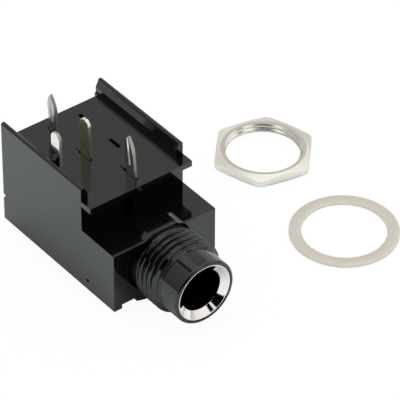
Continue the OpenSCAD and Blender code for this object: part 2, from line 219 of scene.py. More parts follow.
def apply_modifier(piece: bpy.types.Object, kind: str, **settings: Any) -> None:
    """Add a modifier to a piece and apply it.

    Args:
        piece: The piece to change.
        kind: Blender's name for the modifier's type.
        settings: The modifier's own settings.
    """
    alone(piece)
    modifier = piece.modifiers.new(kind.lower(), kind)
    for name, value in settings.items():
        setattr(modifier, name, value)
    bpy.ops.object.modifier_apply(modifier=modifier.name)


def arc(centre: Point, radius: float, start: float, end: float, steps: int) -> list[Point]:
    """Points along an arc of a section.

    Args:
        centre: Middle of the arc.
        radius: Its radius.
        start: Angle of the first point, in degrees.
        end: Angle of the last point, in degrees.
        steps: Number of stretches between the points.

    Returns:
        The points, both ends included.
    """
    angles = [math.radians(start + (end - start) * i / steps) for i in range(steps + 1)]
    return [(centre[0] + radius * math.cos(a), centre[1] + radius * math.sin(a)) for a in angles]


def mirrored(lower: Sequence[Point]) -> list[Point]:
    """Points of a section's lower half, followed by those of its upper half."""
    return [*lower, *((radius, -height) for radius, height in reversed(lower))]


def beside_y(section: Sequence[Point]) -> list[Vector]:
    """Points of a half section about the Y axis, given as radius and place along it."""
    return [Vector((radius, along, 0)) for radius, along in section]


def beside_z(section: Sequence[Point], foot: Vector) -> list[Vector]:
    """Points of a half section about an upright axis, given as radius and height above its foot."""
    return [foot + Vector((radius, 0, height)) for radius, height in section]


def trace(name: str, points: Sequence[Vector], closed: bool) -> bpy.types.Object:
    """Draw a line through points by extruding one vertex along them.

    Args:
        name: Name of the new piece.
        points: The line's points.
        closed: Whether the last point is joined to the first.

    Returns:
        The line as a mesh object with its place in its mesh.
    """
    alone()
    bpy.ops.mesh.primitive_plane_add(size=MM)
    piece = bpy.context.object
    piece.name = name
    with editing(piece, SelectMode.VERTS) as shape:
        bpy.ops.mesh.select_all(action="SELECT")
        bpy.ops.mesh.merge(type="CENTER")
        bpy.ops.mesh.select_all(action="SELECT")
        bpy.ops.transform.translate(value=points[0])
        for here, there in pairwise(points):
            bpy.ops.mesh.extrude_region_move(TRANSFORM_OT_translate={"value": there - here})
        if closed:
            bpy.ops.mesh.select_all(action="DESELECT")
            pick(piece, shape.verts, lambda vert: len(vert.link_edges) == 1)
            bpy.ops.mesh.edge_face_add()
    return piece


def merge(piece: bpy.types.Object) -> None:
    """Merge the vertices of a piece that lie on each other and turn its faces outwards."""
    with editing(piece, SelectMode.VERTS):
        bpy.ops.mesh.select_all(action="SELECT")
        bpy.ops.mesh.remove_doubles(threshold=MERGE)
        bpy.ops.mesh.normals_make_consistent(inside=False)


def lathe(piece: bpy.types.Object, centre: Vector, axis: Vector, steps: int) -> None:
    """Spin a traced line into a surface of revolution.

    Args:
        piece: The line.
        centre: A point on the axis.
        axis: Direction of the axis.
        steps: Number of stretches around.
    """
    with editing(piece, SelectMode.VERTS):
        bpy.ops.mesh.select_all(action="SELECT")
        bpy.ops.mesh.spin(steps=steps, angle=FULL_TURN, center=centre, axis=axis)
    merge(piece)


def slice_off(piece: bpy.types.Object, point: Vector, keep: Vector, fill: bool) -> None:
    """Cut a piece with a plane and drop what lies behind it.

    Args:
        piece: The piece to cut.
        point: A point of the plane.
        keep: The plane's normal, towards the side that stays.
        fill: Whether the cut is closed with a face.
    """
    with editing(piece, SelectMode.VERTS):
        bpy.ops.mesh.select_all(action="SELECT")
        bpy.ops.mesh.bisect(
            plane_co=point, plane_no=keep, clear_inner=True, use_fill=fill, threshold=MERGE / 10
        )


def carve(piece: bpy.types.Object, tool: bpy.types.Object, carving: Carving) -> None:
    """Shape a piece with another solid, which is then gone.

    Args:
        piece: The piece to shape.
        tool: The solid that shapes it.
        carving: How it does so.
    """
    apply_modifier(piece, "BOOLEAN", operation=carving.value, object=tool, solver="EXACT")
    bpy.data.objects.remove(tool)


def join(first: bpy.types.Object, *others: bpy.types.Object) -> None:
    """Join pieces into the first one."""
    alone(first)
    for other in others:
        other.select_set(True)
    bpy.ops.object.join()


def cad_copy(node: bpy.types.Object, name: str) -> bpy.types.Object:
    """Copy a frame node and merge its triangles into whole flat faces.

    Args:
        node: The frame's object.
        name: Name of the new piece.

    Returns:
        The copy, which rides on nothing yet.
    """
    piece = node.copy()
    piece.data = node.data.copy()
    piece.name = name
    piece.parent = None
    for key in list(piece.keys()):
        del piece[key]
    bpy.context.scene.collection.objects.link(piece)
    with editing(piece, SelectMode.VERTS):
        bpy.ops.mesh.select_all(action="SELECT")
        bpy.ops.mesh.remove_doubles(threshold=MERGE)
        bpy.ops.mesh.dissolve_limited(angle_limit=FLAT)
    return piece


def middle_of(edge: bmesh.types.BMEdge) -> Vector:
    """Middle of an edge."""
    return (edge.verts[0].co + edge.verts[1].co) / 2


def soften_edges(
    piece: bpy.types.Object, width: float, wanted: Callable[[bmesh.types.BMEdge], bool]
) -> None:
    """Round the sharp outer edges of a piece.

    Args:
        piece: The piece to round.
        width: Set-back of the rounding from the edge.
        wanted: Says which of the sharp edges are rounded.
    """
    with editing(piece, SelectMode.EDGES) as shape:
        shape.normal_update()
        count = pick(
            piece,
            shape.edges,
            lambda edge: edge.is_manifold and edge.calc_face_angle_signed() > SHARP and wanted(edge),
        )
        if count:
            bpy.ops.mesh.bevel(
                offset=width,
                offset_type="OFFSET",
                segments=2,
                profile=0.5,
                affect="EDGES",
                clamp_overlap=False,
            )
    LOG.info("%s: %d edges rounded", piece.name, count)


def smooth(piece: bpy.types.Object, angle: float = 35) -> None:
    """Shade a piece smooth up to an angle, with its flat faces kept flat.

    Args:
        piece: The piece to shade.
        angle: Angle above which an edge stays sharp, in degrees.
    """
    alone(piece)
    bpy.ops.object.shade_smooth_by_angle(angle=math.radians(angle))
    apply_modifier(piece, "WEIGHTED_NORMAL", keep_sharp=True, weight=100)


@dataclass(frozen=True)
class Thread:
    """A screw thread, swept as a helical skin.

    Attributes:
        root_r: Radius at the foot of its ridges.
        depth: Height of its ridges.
        pitch: Rise in one turn.
        land: Share of the pitch that is flat at the foot and at the top of a ridge.
        around: Number of stretches around one turn.
        across: Number of stretches across one ridge.
    """

    root_r: float
    depth: float
    pitch: float = 1 * MM
    land: float = 0.17
    around: int = 128
    across: int = 16

    def sweep(self, name: str, axis: str, start: float, turns: int) -> bpy.types.Object:
        """Sweep one ridge along a helix about an axis through the origin.

        Args:
            name: Name of the skin.
            axis: The axis, as Y or Z.
            start: Place along the axis at which the skin starts.
            turns: Number of turns.

        Returns:
            The skin, with ragged ends to be sliced off.
        """
        along = AXIS_Y if axis == "Y" else AXIS_Z
        ridge = []
        for i in range(self.across + 1):
            rise = 1 - abs(2 * i / self.across - 1)
            share = min(1, max(0, (rise - self.land) / (1 - 2 * self.land)))
            radius = self.root_r + self.depth * share
            ridge.append(Vector((radius, 0, 0)) + along * (start + self.pitch * i / self.across))
        skin = trace(name, ridge, closed=False)
        apply_modifier(
            skin,
            "SCREW",
            axis=axis,
            angle=FULL_TURN,
            screw_offset=self.pitch,
            iterations=turns,
            steps=self.around,
            render_steps=self.around,
        )
        merge(skin)
        return skin


class Wire:
    """A shader socket that can be used in Python sums."""

    def __init__(self, sheet: NodeSheet, socket: bpy.types.NodeSocket) -> None:
        """Wrap a socket of a sheet's node."""
        self.sheet = sheet
        self.socket = socket

    def math(self, operation: str, first: Input, second: Input) -> Wire:
        """Add a Math node.

        Args:
            operation: Blender's name for the operation.
            first: Its first value.
            second: Its second value.

        Returns:
            The result.
        """
        node = self.sheet.add("ShaderNodeMath", {"operation": operation}, {0: first, 1: second})
        return Wire(self.sheet, node.outputs[0])

    def __add__(self, other: Input) -> Wire:
        """Sum."""
        return self.math("ADD", self, other)

    def __radd__(self, other: Input) -> Wire:
        """Sum with a number first."""
        return self.math("ADD", other, self)

    def __sub__(self, other: Input) -> Wire:
        """Difference."""
        return self.math("SUBTRACT", self, other)

    def __rsub__(self, other: Input) -> Wire:
        """Difference with a number first."""
        return self.math("SUBTRACT", other, self)

    def __mul__(self, other: Input) -> Wire:
        """Product."""
        return self.math("MULTIPLY", self, other)

    def __rmul__(self, other: Input) -> Wire:
        """Product with a number first."""
        return self.math("MULTIPLY", other, self)

    def __truediv__(self, other: Input) -> Wire:
        """Quotient."""
        return self.math("DIVIDE", self, other)

    def __pow__(self, other: Input) -> Wire:
        """Power."""
        return self.math("POWER", self, other)

    def larger(self, other: Input) -> Wire:
        """The larger of two values."""
        return self.math("MAXIMUM", self, other)

    def smaller(self, other: Input) -> Wire:
        """The smaller of two values."""
        return self.math("MINIMUM", self, other)

    def below(self, other: Input) -> Wire:
        """One where the value is below another, and nought elsewhere."""
        return self.math("LESS_THAN", self, other)


class NodeSheet:
    """The node tree of one material or of the world."""

    def __init__(self, tree: bpy.types.NodeTree) -> None:
        """Empty a tree and take it over."""
        self.tree = tree
        tree.nodes.clear()

    def add(
        self, kind: str, settings: dict[str, Any] | None = None, inputs: dict[str | int, Input] | None = None
    ) -> bpy.types.Node:
        """Add a node.

        Args:
            kind: Blender's name for the node's type.
            settings: The node's own settings, with a ramp's stops under "stops".
            inputs: Values or wires for its sockets, by name or place.

        Returns:
            The node.
        """
        node = self.tree.nodes.new(kind)
        for name, value in (settings or {}).items():
            if name == "stops":
                self._set_stops(node.color_ramp, value)
            else:
                setattr(node, name, value)
        for key, value in (inputs or {}).items():
            if isinstance(value, Wire):
                self.tree.links.new(value.socket, node.inputs[key])
            else:
                node.inputs[key].default_value = value
        return node

    @staticmethod
    def _set_stops(ramp: bpy.types.ColorRamp, stops: Sequence[tuple[float, float]]) -> None:
        """Give a ramp its grey stops, as places and values."""
        while len(ramp.elements) < len(stops):
            ramp.elements.new(1)
        for element, (place, value) in zip(ramp.elements, stops, strict=True):
            element.position = place
            element.color = (value, value, value, 1)

    def wire(self, node: bpy.types.Node, output: str | int = 0) -> Wire:
        """Wrap one of a node's outputs."""
        return Wire(self, node.outputs[output])

    def place(self, centre: Sequence[float] = (0, 0, 0)) -> Wire:
        """Object coordinates about a centre.

        Args:
            centre: The point that becomes the origin.

        Returns:
            The coordinates.
        """
        own = self.wire(self.add("ShaderNodeTexCoord"), "Object")
        inputs = {"Vector": own, "Location": centre}
        return self.wire(self.add("ShaderNodeMapping", {"vector_type": "TEXTURE"}, inputs))

    def axes(self, vector: Wire) -> tuple[Wire, Wire, Wire]:
        """The three parts of a vector."""
        node = self.add("ShaderNodeSeparateXYZ", inputs={0: vector})
        return self.wire(node, 0), self.wire(node, 1), self.wire(node, 2)

    def along(self, vector: Wire, direction: Vector) -> Wire:
        """How far a vector reaches along a direction."""
        node = self.add("ShaderNodeVectorMath", {"operation": "DOT_PRODUCT"}, {0: vector, 1: direction})
        return self.wire(node, "Value")

    def noise(self, vector: Wire, size: float, detail: float = 2) -> Wire:
        """Soft noise between nought and one.

        Args:
            vector: Coordinates.
            size: Size of its blotches.
            detail: Number of finer layers.

        Returns:
            The noise.
        """
        node = self.add("ShaderNodeTexNoise", inputs={"Vector": vector, "Scale": 1 / size, "Detail": detail})
        return self.wire(node)

    def specks(self, vector: Wire, spacing: float, size: float) -> Wire:
        """One within small round specks and nought elsewhere.

        Args:
            vector: Coordinates.
            spacing: Mean distance between specks.
            size: Their radius.

        Returns:
            The mask.
        """
        node = self.add("ShaderNodeTexVoronoi", inputs={"Vector": vector, "Scale": 1 / spacing})
        return self.wire(node).below(size / spacing)

    def blend(self, share: Wire, first: Input, second: Input) -> Wire:
        """A colour between two others.

        Args:
            share: How much of the second colour shows.
            first: The first colour.
            second: The second colour.

        Returns:
            The mixed colour.
        """
        node = self.add("ShaderNodeMix", {"data_type": "RGBA"}, {0: share, 6: first, 7: second})
        return self.wire(node, 2)

    def relief(self, height: Wire, depth: float, strength: float) -> Wire:
        """A bumped normal.

        Args:
            height: Height between nought and one.
            depth: What a height of one measures.
            strength: How far the normal follows it.

        Returns:
            The normal.
        """
        node = self.add("ShaderNodeBump", inputs={"Strength": strength, "Distance": depth, "Height": height})
        return self.wire(node)


@dataclass(frozen=True)
class BlackPlastic:
    """Glossy black moulded plastic with faint flow clouds, fine grain and a little dust.

    Attributes:
        name: Name of the material.
        colour: Its colour.
        cloud_colour: Its colour in the palest of the flow clouds.
        dust_colour: Colour of the dust.
        sheen_colour: Tint of its reflections.
        roughness: Its mean roughness.
        roughness_drift: How far the clouds change the roughness.
        ior: Its refractive index.
        cloud_size: Size of the flow clouds.
        cloud_height: Their height in the relief.
        grain_size: Size of the fine grain.
        grain_height: Its height in the relief.
        relief_depth: What a height of one measures in the relief.
        dust_spacing: Mean distance between specks of dust.
        dust_size: Radius of a speck.
        dust_patch: Size of the patches in which the dust lies thicker.
        dust_roughness: How much rougher a speck is.
    """

    name: str = "black_plastic"
    colour: Colour = (0.0016, 0.0018, 0.0019, 1)
    cloud_colour: Colour = (0.0032, 0.0035, 0.0035, 1)
    dust_colour: Colour = (0.12, 0.12, 0.11, 1)
    sheen_colour: Colour = (0.94, 1.0, 0.99, 1)
    roughness: float = 0.08
    roughness_drift: float = 0.06
    ior: float = 1.6
    cloud_size: float = 5 * MM
    cloud_height: float = 6
    grain_size: float = 0.1 * MM
    grain_height: float = 0.25
    relief_depth: float = 0.0012 * MM
    dust_spacing: float = 1.9 * MM
    dust_size: float = 0.05 * MM
    dust_patch: float = 7 * MM
    dust_roughness: float = 0.3

    def make(self) -> bpy.types.Material:
        """Build the material."""
        material, sheet = new_material(self.name)
        place = sheet.place()
        clouds = sheet.noise(place, self.cloud_size, detail=4)
        grain = sheet.noise(place, self.grain_size, detail=3)
        dust = sheet.specks(place, self.dust_spacing, self.dust_size) * sheet.noise(place, self.dust_patch)
        clean = sheet.blend(clouds, self.colour, self.cloud_colour)
        drift = self.roughness_drift * (clouds - 0.5)
        height = self.grain_height * grain + self.cloud_height * clouds
        finish_surface(
            sheet,
            {
                "Base Color": sheet.blend(dust, clean, self.dust_colour),
                "Roughness": self.roughness + drift + self.dust_roughness * dust,
                "IOR": self.ior,
                "Specular Tint": self.sheen_colour,
                "Normal": sheet.relief(height, self.relief_depth, strength=0.5),
            },
        )
        return material


@dataclass(frozen=True, kw_only=True)
class PlatedMetal:
    """Plated metal with fine lines left by its making.

    Attributes:
        name: Name of the material.
        lay: How the fine lines run.
        colour: Its colour.
        stain_colour: Its colour where it is dulled.
        roughness: Its mean roughness.
        line_size: Spacing of the fine lines.
        line_depth: Depth of the fine lines.
        line_stretch: Share of a length that counts along the lines.
        stain_size: Size of the stains.
        stain_dulls: Share of the stains in the dulling.
        stain_rough: Share of the mean roughness that the stains add.
        line_dulls: Share of the lines in the dulling.
        line_rough: Share of the mean roughness that the lines add.
        least_rough: Share of the mean roughness where neither adds any.
        pit_size: Size of the pits.
        pit_dulls: Share of the pits in the dulling.
        pit_height: Height of the pits in the relief, where that of the lines is one.
        centre: Middle of the rings.
    """

    name: str
    lay: Lay
    colour: Colour
    stain_colour: Colour
    roughness: float
    line_size: float
    line_depth: float
    line_stretch: float = 0.02
    stain_size: float = 2.5 * MM
    stain_dulls: float = 0.4
    stain_rough: float = 0.3
    line_dulls: float = 0.4
    line_rough: float = 0.4
    least_rough: float = 0.65
    pit_size: float = 0.15 * MM
    pit_dulls: float = 0.2
    pit_height: float = 0.5
    centre: Vector = field(default_factory=Vector)

    def make(self) -> bpy.types.Material:
        """Build the material."""
        material, sheet = new_material(self.name)
        place = sheet.place(self.centre)
        lines = self._lines(sheet, place)
        stains = sheet.noise(place, self.stain_size, detail=5)
        pits = sheet.noise(place, self.pit_size)
        dulled = stains * self.stain_dulls + pits * self.pit_dulls + lines * self.line_dulls
        plated = self.roughness * (self.least_rough + self.line_rough * lines + self.stain_rough * stains)
        finish_surface(
            sheet,
            {
                "Base Color": self._tone(sheet, dulled),
                "Metallic": 1.0,
                "Roughness": self._dullness(sheet, plated),
                "Normal": sheet.relief(lines + self.pit_height * pits, self.line_depth, strength=0.6),
            },
        )
        return material

    def _tone(self, sheet: NodeSheet, dulled: Wire) -> Wire:
        """Colour of the metal, by how far it is dulled."""
        return sheet.blend(dulled, self.colour, self.stain_colour)

    def _dullness(self, sheet: NodeSheet, plated: Wire) -> Wire:
        """Roughness of the metal, which is that of its plating."""
        return plated

    def _lines(self, sheet: NodeSheet, place: Wire) -> Wire:
        """Fine lines along the lay.

        Args:
            sheet: The material's node sheet.
            place: Coordinates about the centre.

        Returns:
            The lines' height, between nought and one.
        """
        x, y, z = sheet.axes(place)
        stretch = self.line_stretch
        slant = 0.7
        across = {
            Lay.RINGS_ABOUT_Y: ((x * x + z * z) ** 0.5, y * stretch, 0.0),
            Lay.RINGS_ABOUT_Z: ((x * x + y * y) ** 0.5, z * stretch, 0.0),
            Lay.UPRIGHT: (x, y, z * stretch),
            Lay.ROLLED: (x + y * slant, (y - x * slant) * stretch, z),
        }[self.lay]
        vector = sheet.add("ShaderNodeCombineXYZ", inputs=dict(enumerate(across)))
        return sheet.noise(sheet.wire(vector), self.line_size, detail=3)


@dataclass(frozen=True, kw_only=True)
class StampedStrip(PlatedMetal):
    """Plated strip with upright lines and a rim of another colour, where it was sheared through; a pale rim
    colour is also a painted highlight along that edge.

    Attributes:
        rim_and_highlight_colour: Colour of the sheared rim.
        rim_roughness: Roughness of the sheared rim.
        rim_facing: How far a sheared face may turn towards the side.
    """

    lay: Lay = Lay.UPRIGHT
    line_size: float = 0.05 * MM
    line_depth: float = 0.0006 * MM
    # rim_and_highlight_colour: Colour of the sheared rim, which is also a painted highlight where it is set
    # paler than the strip.
    rim_and_highlight_colour: Colour = (0.42, 0.41, 0.40, 1)
    rim_roughness: float = 0.55
    rim_facing: float = 0.25

    def _is_rim(self, sheet: NodeSheet) -> Wire:
        """One on the sheared rim and nought on the plated faces."""
        facing, _, _ = sheet.axes(sheet.wire(sheet.add("ShaderNodeTexCoord"), "Normal"))
        return (facing * facing).below(self.rim_facing**2)

    def _tone(self, sheet: NodeSheet, dulled: Wire) -> Wire:
        """Colour of the strip and its rim."""
        return sheet.blend(self._is_rim(sheet), super()._tone(sheet, dulled), self.rim_and_highlight_colour)

    def _dullness(self, sheet: NodeSheet, plated: Wire) -> Wire:
        """Roughness of the strip and its rim."""
        rim = self._is_rim(sheet)
        return (1 - rim) * plated + rim * self.rim_roughness


def new_material(name: str) -> tuple[bpy.types.Material, NodeSheet]:
    """Make an empty material.

    Args:
        name: Its name.

    Returns:
        The material and its node sheet.
    """
    material = bpy.data.materials.new(name)
    material.use_nodes = True
    return material, NodeSheet(material.node_tree)


def finish_surface(sheet: NodeSheet, inputs: dict[str | int, Input]) -> None:
    """End a material's sheet with its shader.

    Args:
        sheet: The material's node sheet.
        inputs: Values or wires for the shader's sockets.
    """
    shader = sheet.add("ShaderNodeBsdfPrincipled", inputs=inputs)
    sheet.add("ShaderNodeOutputMaterial", inputs={"Surface": sheet.wire(shader)})


@dataclass
class Piece:
    """One piece of the jack that stands for a frame node.

    Attributes:
        node: Name of the frame node, which is also the piece's name.
        slot: The record's material slot, which is not used.
        material: The finish's material.
        frame_node: The frame's own object.
        sizes: Sizes from the frame.
        mesh: The finished object.
        edge: Set-back of the softened outer edges.
    """

    node: str
    slot: str
    material: bpy.types.Material
    frame_node: bpy.types.Object
    sizes: JackSizes
    mesh: bpy.types.Object | None = None
    edge: float = 0.05 * MM

    def build(self) -> None:
        """Model the piece as a copy of its frame node with softened edges."""
        self.mesh = cad_copy(self.frame_node, self.mesh_name())
        soften_edges(self.mesh, self.edge, lambda edge: True)
        smooth(self.mesh)

    def mesh_name(self) -> str:
        """Name of the finished object."""
        return f"{self.node}_dressed"

    def dress(self) -> None:
        """Give the piece its finish and hand it over to its body."""
        self.mesh.data.materials.clear()
        self.mesh.data.materials.append(self.material)
        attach(self.mesh, BODY)
        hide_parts(self.node)
        LOG.info("%s: %d faces", self.mesh.name, len(self.mesh.data.polygons))


@dataclass
class Housing(Piece):
    """Black moulding: the body with its deck, fins and feet, and the threaded nose.

    Attributes:
        thread_depth: Depth of the thread.
        thread_start: Distance from the panel face to the thread's first full ridge.
        thread_end: Distance from the panel face to the thread's last full ridge.
        thread_fade: Length over which the ridges die out at both ends.
        joint_y: Plane in the relief groove at which the nose is set on.
        core_l: Length of the nose's core behind its plain front.
        nose_r: Radius of the plain front.
        nose_edge_r: Radius of the front edge.
        seat_r: Outer radius of the ferrule's seat.
        seat_in_r: Inner radius of the ferrule's seat.
        seat_end: Distance from the panel face to the bottom of the seat.
        liner_end: Distance from the panel face to the front of the liner.
        seat_edge: Chamfer at the mouth of the seat.
        shelf_edge: Set-back of the shelf's front edge, which is rounder than the others.
        shelf_d: Depth of the shelf in front of the contact box.
        pad_x: Limit on the X axis that keeps clear of the raised pad on the shelf.
        smooth_deg: Angle up to which the faces are shaded as one.
        around: Number of stretches around the nose.
    """

    thread_depth: float = 0.53 * MM
    thread_start: float = 0.55 * MM
    thread_end: float = 4.85 * MM
    thread_fade: float = 0.2 * MM
    joint_y: float = -0.2 * MM
    core_l: float = 5.3 * MM
    nose_r: float = 4.9 * MM
    nose_edge_r: float = 0.45 * MM
    seat_r: float = 4.39 * MM
    seat_in_r: float = 3.98 * MM
    seat_end: float = 5.18 * MM
    liner_end: float = 7.46 * MM
    seat_edge: float = 0.05 * MM
    shelf_edge: float = 0.12 * MM
    shelf_d: float = 7.1 * MM
    pad_x: float = -3 * MM
    smooth_deg: float = 9
    around: int = 128

    def build(self) -> None:
        """Model the body and the nose and weld them together."""
        self.mesh = cad_copy(self.frame_node, self.mesh_name())
        slice_off(self.mesh, Vector((0, self.joint_y, 0)), AXIS_Y, fill=False)
        soften_edges(self.mesh, self.shelf_edge, self._is_shelf_front)
        soften_edges(self.mesh, self.edge, self._shows_outside)
        form = Thread(self.sizes.crest_r - self.thread_depth, self.thread_depth, around=self.around)
        thread = self._thread(form)
        front = self._front(form.root_r)
        join(self.mesh, thread, front)
        self._bridge(-self.core_l, -self.thread_end, self.nose_r)
        self._bridge(-self.thread_start, self.joint_y, self.nose_r)
        self._bridge(-self.thread_start, self.joint_y, 0)
        merge(self.mesh)
        smooth(self.mesh, self.smooth_deg)

    def _is_shelf_front(self, edge: bmesh.types.BMEdge) -> bool:
        """Whether an edge of the body is the front edge of the shelf, to the left of the pad."""
        slack = 0.02 * MM
        at_front = all(abs(vert.co.y) < slack for vert in edge.verts)
        level = abs(edge.verts[0].co.z - edge.verts[1].co.z) < slack
        on_top = edge.verts[0].co.z > self.sizes.crest_r - self.thread_depth
        beside_pad = max(vert.co.x for vert in edge.verts) < self.pad_x
        return at_front and level and on_top and beside_pad

    def _shows_outside(self, edge: bmesh.types.BMEdge) -> bool:
        """Whether an edge of the body lies outside its hollows, its slots and the nose's root."""
        middle = middle_of(edge)
        hall_low, hall_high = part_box("bottom_cover")
        room = 0.3 * MM
        at_nose = math.hypot(middle.x, middle.z) < self.sizes.crest_r + room and middle.y < room
        between_walls = hall_low.x - room < middle.x < hall_high.x + room
        in_hall = between_walls and hall_low.y - room < middle.y < hall_high.y + room
        on_shelf = middle.y < self.shelf_d and middle.z > self.sizes.crest_r - self.thread_depth
        return not at_nose and (on_shelf or not in_hall)

    def _thread(self, form: Thread) -> bpy.types.Object:
        """Model the thread, which dies out at both ends.

        Args:
            form: The thread's sizes.

        Returns:
            The open skin between two round ends.
        """
        turns = math.ceil(self.core_l / form.pitch) + 2
        skin = form.sweep("thread", "Y", -self.core_l - form.pitch, turns)
        for vert in skin.data.vertices:
            ahead = -vert.co.y
            inside = min(ahead - self.thread_start, self.thread_end - ahead) / self.thread_fade
            height = min(1, max(0, 1 + inside))
            radius = math.hypot(vert.co.x, vert.co.z)
            shrink = (form.root_r + (radius - form.root_r) * height) / radius
            vert.co.x *= shrink
            vert.co.z *= shrink
        slice_off(skin, Vector((0, -self.thread_start + self.thread_fade, 0)), -AXIS_Y, fill=False)
        slice_off(skin, Vector((0, -self.thread_end - self.thread_fade, 0)), AXIS_Y, fill=False)
        return skin

    def _front(self, root_r: float) -> bpy.types.Object:
        """Model the plain front of the nose, the ferrule's seat and the bore behind it.

        Args:
            root_r: Radius of the thread's root.

        Returns:
            The open skin from the end of the thread round to the bore.
        """
        tip = self.sizes.nose_tip_y
        step = self.seat_edge
        edge_middle = (self.nose_r - self.nose_edge_r, tip + self.nose_edge_r)
        section = [
            (root_r, -self.core_l + step),
            (root_r - step, -self.core_l),
            (self.nose_r + step, -self.core_l),
            (self.nose_r, -self.core_l - step),
            *arc(edge_middle, self.nose_edge_r, start=0, end=-90, steps=12),
            (self.seat_r + step, tip),
            (self.seat_r, tip + step),
            (self.seat_r, -self.seat_end),
            (self.seat_in_r, -self.seat_end),
            (self.seat_in_r, -self.liner_end),
            (self.sizes.bore_r, -self.liner_end),
            (self.sizes.bore_r, 2 * self.joint_y),
        ]
        skin = trace("front", beside_y(section), closed=False)
        lathe(skin, Vector(), AXIS_Y, self.around)
        return skin

    def _bridge(self, low_y: float, high_y: float, least_r: float) -> None:
        """Close the ring-shaped gap between two open ends of the nose.

        Args:
            low_y: Front limit of the gap.
            high_y: Rear limit of the gap.
            least_r: Least radius of the open ends, or nought for the bore.
        """
        slack = 0.05 * MM
        most_r = self.sizes.crest_r if least_r else self.seat_in_r

        def open_end(edge: bmesh.types.BMEdge) -> bool:
            """Whether an edge belongs to one of the open ends."""
            middle = middle_of(edge)
            radius = math.hypot(middle.x, middle.z)
            in_gap = low_y - slack < middle.y < high_y + slack
            return edge.is_boundary and in_gap and least_r < radius < most_r

        with editing(self.mesh, SelectMode.EDGES) as shape:
            pick(self.mesh, shape.edges, open_end)
            bpy.ops.mesh.bridge_edge_loops()


@dataclass
class MouthFerrule(Piece):
    """Bright ring in the mouth of the nose, with a beaded rim and a lip that rolls into the bore.

    Attributes:
        skirt_r: Outer radius of the skirt.
        skirt_in_r: Inner radius of the skirt.
        sheet: Thickness of the sheet.
        bead_r: Radius of the rim's bead.
        bead_turn_deg: How far the bead turns over.
        bead_foot: Where the dish leaves the bead, inwards and forwards of its middle, in bead radii.
        lip_r: Radius of the rolled inner lip.
        slope_deg: Slope of the dish from the front plane.
        dish_edge: Share of the dish that is a strip of its own at each side.
        around: Number of stretches around.
    """

    skirt_r: float = 4.37 * MM
    skirt_in_r: float = 4 * MM
    sheet: float = 0.37 * MM
    bead_r: float = 0.11 * MM
    bead_turn_deg: float = 150
    bead_foot: Point = (1.2, 0.3)
    lip_r: float = 0.05 * MM
    slope_deg: float = 37
    dish_edge: float = 0.03
    around: int = 128

    def build(self) -> None:
        """Spin the ferrule's section about the nose axis."""
        low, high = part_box(self.node)
        bore_r = self.sizes.bore_r
        bead_x = self.skirt_r - self.bead_r
        bead_y = low.y + self.bead_r
        lip_x = bore_r + self.lip_r
        inwards, forwards = self.bead_foot
        dish_start = Vector((bead_x - self.bead_r * inwards, bead_y - self.bead_r * forwards))
        turn = math.radians(self.slope_deg)
        lip_top = Vector((lip_x - self.lip_r * math.sin(turn), 0))
        lip_top.y = dish_start.y + (dish_start.x - lip_top.x) * math.tan(turn)
        lip_y = lip_top.y + self.lip_r * math.cos(turn)
        section = [
            (self.skirt_in_r, high.y),
            (self.skirt_r, high.y),
            *arc((bead_x, bead_y), self.bead_r, start=0, end=-self.bead_turn_deg, steps=8),
            dish_start,
            dish_start.lerp(lip_top, self.dish_edge),
            dish_start.lerp(lip_top, 1 - self.dish_edge),
            *arc((lip_x, lip_y), self.lip_r, start=-90 - self.slope_deg, end=-180, steps=4),
            (bore_r, lip_y + self.sheet),
            (self.skirt_in_r, lip_y + self.sheet),
        ]
        self.mesh = trace(self.mesh_name(), beside_y(section), closed=True)
        lathe(self.mesh, Vector(), AXIS_Y, self.around)
        smooth(self.mesh)


